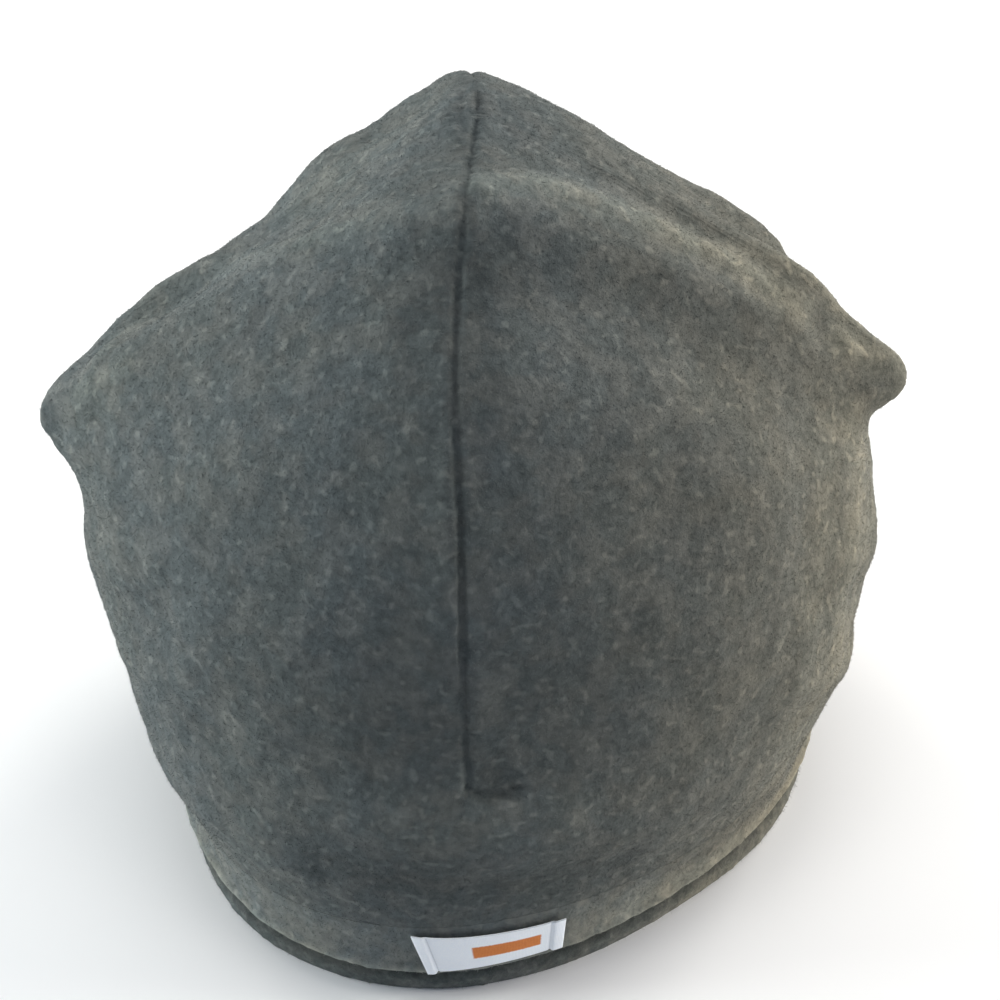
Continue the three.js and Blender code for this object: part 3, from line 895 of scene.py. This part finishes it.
# %% Model the edge of the lining
lining = copied("lining_edge", "lining_cloth")
lining.data.materials.append(lining_fleece)
subdivided(lining, 3)
points = drawn_in(places(lining))
free = points[:, 2] > 0.8 * MM
out = points * np.array([1, 1, 0])
out /= np.linalg.norm(out, axis=1)[:, None]
outer = faces_away(lining)
share = np.clip(points[:, 2] / BAND_LOW, 0, 1)
lift = np.where(share < 1, 0.9 * np.sin(share * pi * 0.8) - 1.4 * share**4, -1.4) * outer * MM
points += out * lift[:, None]
flare = 1.8 * around(points, -18, 18) + 1.0 * around(points, -132, 16)
points = moved_out(points, flare * outer * np.clip(1.6 - share, 0, 1) * MM)
put(lining, points)
shaded_from = 3.5 * MM + RISE * around(points, RISE_MIDDLE, RISE_WIDTH)
paint(lining, "crease", np.clip((points[:, 2] - shaded_from) / (5 * MM), 0, 1) * outer * 0.9)
# Painted highlight low on the lining at the front right.
lining_painted_highlight = np.clip(1.3 - points[:, 2] / (6 * MM), 0, 1) * around(points, -38, 30)
paint(lining, "ridge", 0.8 * lining_painted_highlight * outer)
lining_group = group_of(lining, "off_the_floor", free)
lumps(lining, lining_group, [(6 * MM, 0.9 * MM), (2 * MM, 0.7 * MM)])
points = places(lining)
points[:, 2] -= points[:, 2].min()
put(lining, points)
bpy.ops.object.shade_smooth()
print("lining", triangles(lining), "triangles")

# %% [markdown]
# ## The label
#
# A woven label is a ribbon whose two cut ends are folded under and stitched down, which leaves a raised
# strip and a furrow near each end. A grid is the natural start: its columns are shaped into that section,
# Solidify gives the ribbon its thickness, and then every point is laid on the band, at its height and its
# distance from the middle, a hair in front of the cloth. It was sewn on a little crooked, so its left end
# leans and it narrows to the right. The label is left bare except for a plain bar.

# %% Model the label
LABEL_END = 3.2 * MM
label_low, label_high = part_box("label")
label_middle = (label_low + label_high) / 2
label_wide = label_high.x - label_low.x
label_tall = label_high.z - label_low.z

deselect()
bpy.ops.mesh.primitive_grid_add(x_subdivisions=84, y_subdivisions=24, size=1, location=(0, 0, 0))
label = bpy.context.object
label.name = "label_ribbon"
label.data.name = "label_ribbon"
points = places(label) * np.array([label_wide, label_tall, 0])
from_end = label_wide / 2 - np.abs(points[:, 0])
folded = 1 / (1 + np.exp((from_end - LABEL_END) / (0.25 * MM)))
furrow = np.exp(-(((from_end - LABEL_END - 0.5 * MM) / (0.45 * MM)) ** 2))
points[:, 2] = (0.55 * folded - 0.3 * furrow) * MM
points[:, 1] *= 1 + 0.06 * folded - 0.03 * furrow
rightwards = points[:, 0] / label_wide + 0.5
downwards = 0.5 - points[:, 1] / label_tall
points[:, 0] += 4.2 * MM * downwards * (1 - rightwards) ** 2 - 0.8 * MM * downwards * rightwards**2
points[:, 1] *= 1 - 0.24 * rightwards
points[:, 1] += 0.4 * MM * rightwards
put(label, points)

ribbon = label.modifiers.new("thickness", "SOLIDIFY")
ribbon.thickness = 0.6 * MM
ribbon.offset = 0
edge = label.modifiers.new("soft_edge", "BEVEL")
edge.width = 0.12 * MM
edge.segments = 2
edge.limit_method = "ANGLE"
apply_all(label)

band_tree = tree_of(band)
laid = []
for x, y, z in places(label):
    before = Vector((label_middle.x + x, -0.2, label_middle.z + y))
    hit = band_tree.ray_cast(before, Vector((0, 1, 0)))[0]
    laid.append((x, y, z, hit.y))
laid = np.array(laid)
bow = np.polynomial.polynomial.Polynomial.fit(laid[:, 0], laid[:, 3], 4)
lean = np.polynomial.polynomial.Polynomial.fit(laid[:, 1], laid[:, 3] - bow(laid[:, 0]), 1)
rest_y = bow(laid[:, 0]) + lean(laid[:, 1])
clearance = np.max(rest_y - laid[:, 3]) + 0.55 * MM
put(label, np.column_stack([
    laid[:, 0] + label_middle.x, rest_y - clearance - laid[:, 2], laid[:, 1] + label_middle.z,
]))
bpy.ops.object.shade_smooth_by_angle(angle=radians(40))
print("label", triangles(label), "triangles, stands", round(clearance / MM, 2), "mm off the band's mean")

# %% [markdown]
# Its weave is too fine to model, so the material carries it: fine ribs as bump and as a faint change of
# colour, a grey line of stitches beside each folded end, and the plain orange bar. The pattern reads the
# grid's own UV map, so it follows the ribbon round the hat.

# %% Finish the label
weave = Look("label_weave_nodes")
along = weave.node("ShaderNodeSeparateXYZ", None, {0: weave.node("ShaderNodeUVMap")}, "X")
up = weave.node("ShaderNodeSeparateXYZ", None, {0: weave.node("ShaderNodeUVMap")}, "Y")
ribs = weave.node("ShaderNodeMath", {"operation": "SINE"}, {0: up * 250})
threads = weave.node("ShaderNodeMath", {"operation": "SINE"}, {0: along * 620})
fray = weave.grain(0.5 * MM, 2)
edge_x = along + (fray - 0.5) * 0.008
edge_y = up + (fray - 0.5) * 0.03
inside_x = weave.step(edge_x, 0.37, 0.385) * weave.step(edge_x, 0.85, 0.835)
inside_y = weave.step(edge_y, 0.3, 0.34) * weave.step(edge_y, 0.7, 0.66)
stitch_gap = weave.step(ribs, -0.2, 0.3)
stitch_line = weave.step(along, 0.084, 0.09) * weave.step(along, 0.102, 0.096)
stitch_line = stitch_line + weave.step(along, 0.898, 0.904) * weave.step(along, 0.916, 0.91)
white = weave.mix(fray, (0.84, 0.9, 0.98), (0.95, 0.98, 1.0))
white = weave.mix(stitch_line * stitch_gap * 0.6, white, (0.4, 0.42, 0.45))
orange = weave.mix(fray, (0.58, 0.16, 0.03), (0.72, 0.24, 0.05))
colour = weave.mix(inside_x * inside_y, white, orange)
weave_bump = weave.bump(ribs * 0.3 + threads * 0.2 + fray * 0.5, 0.12 * MM, 0.6)
label.data.materials.append(
    weave.finish(colour, 0.6 + 0.2 * fray, weave_bump, Sheen_Weight=0.1, Specular_IOR_Level=0.35)
)

# %% [markdown]
# ## The nap
#
# What makes fleece look soft is its nap: the brushed ends of the yarn stand up as short hairs, and they blur
# each edge against the light. One hair is modelled, a three-sided spike, because there will be tens of
# thousands of it. Geometry Nodes then strews copies over the cloth, leans and turns each one by chance, and
# makes them real, and the modifier is applied. The seeds are fixed, so that every run gives the same hairs.

# %% Strew hairs over the cloth
LOWEST_HAIR = 1.8 * MM


def hair(name, length, thickness):
    """One spike that stands on the origin."""
    deselect()
    bpy.ops.mesh.primitive_cone_add(
        vertices=3, radius1=thickness / 2, radius2=0, depth=length, location=(0, 0, length / 2)
    )
    spike = bpy.context.object
    spike.name = name
    bpy.ops.object.transform_apply(location=True, rotation=True, scale=True)
    return spike


def strewing(name, spike, density, lean, seed, material):
    """A Geometry Nodes group that covers a mesh with copies of a spike and drops the mesh itself."""
    group = bpy.data.node_groups.new(name, "GeometryNodeTree")
    group.interface.new_socket("Geometry", in_out="INPUT", socket_type="NodeSocketGeometry")
    group.interface.new_socket("Geometry", in_out="OUTPUT", socket_type="NodeSocketGeometry")

    def add(kind, sockets=None, **settings):
        node = group.nodes.new(kind)
        for key, value in settings.items():
            setattr(node, key, value)
        for key, value in (sockets or {}).items():
            if isinstance(value, bpy.types.NodeSocket):
                group.links.new(value, node.inputs[key])
            else:
                node.inputs[key].default_value = value
        return node

    def chance(low, high, number):
        node = add("FunctionNodeRandomValue", data_type="FLOAT")
        values = {"Min": low, "Max": high}
        for socket in node.inputs:
            if socket.enabled and socket.name in values:
                socket.default_value = values[socket.name]
            if socket.name == "Seed":
                socket.default_value = number
        return next(socket for socket in node.outputs if socket.enabled)

    start = add("NodeGroupInput")
    spread = add("GeometryNodeDistributePointsOnFaces", {
        "Mesh": start.outputs[0], "Density": density, "Seed": seed,
    })
    spike_info = add("GeometryNodeObjectInfo", {"Object": spike, "As Instance": True})
    placed = add("GeometryNodeInstanceOnPoints", {
        "Points": spread.outputs["Points"], "Instance": spike_info.outputs["Geometry"],
        "Rotation": spread.outputs["Rotation"], "Scale": chance(0.55, 1.25, seed + 1),
    })
    turn = add("ShaderNodeCombineXYZ", {
        "X": chance(lean - 0.35, lean + 0.3, seed + 2), "Z": chance(0, 2 * pi, seed + 3),
    })
    leaned = add("GeometryNodeRotateInstances", {
        "Instances": placed.outputs[0], "Rotation": turn.outputs[0], "Local Space": True,
    })
    real = add("GeometryNodeRealizeInstances", {"Geometry": leaned.outputs[0]})
    finished = add("GeometryNodeSetMaterial", {"Geometry": real.outputs[0], "Material": material})
    add("NodeGroupOutput", {0: finished.outputs[0]})
    return group


def nap(source, name, spike, count, lean, seed, wanted):
    """A piece of loose hairs that stand on the wanted faces of a cloth."""
    piece = bpy.data.objects.new(name, source.data.copy())
    piece.data.name = name
    bpy.context.scene.collection.objects.link(piece)
    select_faces(piece, [f.index for f in piece.data.polygons if not wanted(f)])
    bpy.ops.mesh.delete(type="FACE")
    bpy.ops.object.mode_set(mode="OBJECT")
    area = sum(face.area for face in piece.data.polygons)
    modifier = piece.modifiers.new("nap", "NODES")
    modifier.node_group = strewing(name, spike, count / area, lean, seed, hair_fleece_painted_lighter)
    apply_all(piece)
    piece.vertex_groups.clear()
    bpy.data.node_groups.remove(bpy.data.node_groups[name])
    print(name, triangles(piece) // 4, "hairs on", round(area, 4), "m2")
    return piece


def outside_face(face):
    return face.material_index == 0


def faces_out(face):
    """True for a face on the outside that is high enough for its hairs to stay off the floor."""
    outward = face.normal.x * face.center.x + face.normal.y * face.center.y
    return outward > 0 and face.center.z > LOWEST_HAIR


short_hair = hair("short_hair", 0.8 * MM, 0.12 * MM)
long_hair = hair("long_hair", 1.4 * MM, 0.09 * MM)
naps = [
    nap(crown, "crown_nap_a", short_hair, 40000, 1.0, 11, outside_face),
    nap(crown, "crown_nap_b", short_hair, 40000, 1.1, 23, outside_face),
    nap(crown, "crown_nap_c", short_hair, 40000, 0.9, 37, outside_face),
]
band_nap = nap(band, "band_nap", short_hair, 12000, 1.0, 41, faces_out)
lining_nap = nap(lining, "lining_nap", long_hair, 12000, 0.9, 53, faces_out)
for spike in (short_hair, long_hair):
    bpy.data.objects.remove(spike)

# %% [markdown]
# ## The pieces on the body
#
# Every piece rides on the hat's one body, and the solid that each of the four cloth pieces was copied from is
# hidden.

for piece, node, slot in (
    (crown, "crown", "crown_fleece"),
    (band, "hem_band", "band_fleece"),
    (lining, "lining_edge", "lining_fleece"),
    (label, "label", "label_weave"),
):
    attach(piece, "root")
    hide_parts(node)

for piece, slot in (
    *((part, "crown_fleece") for part in naps),
    (band_nap, "band_fleece"),
    (lining_nap, "lining_fleece"),
):
    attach(piece, "root")
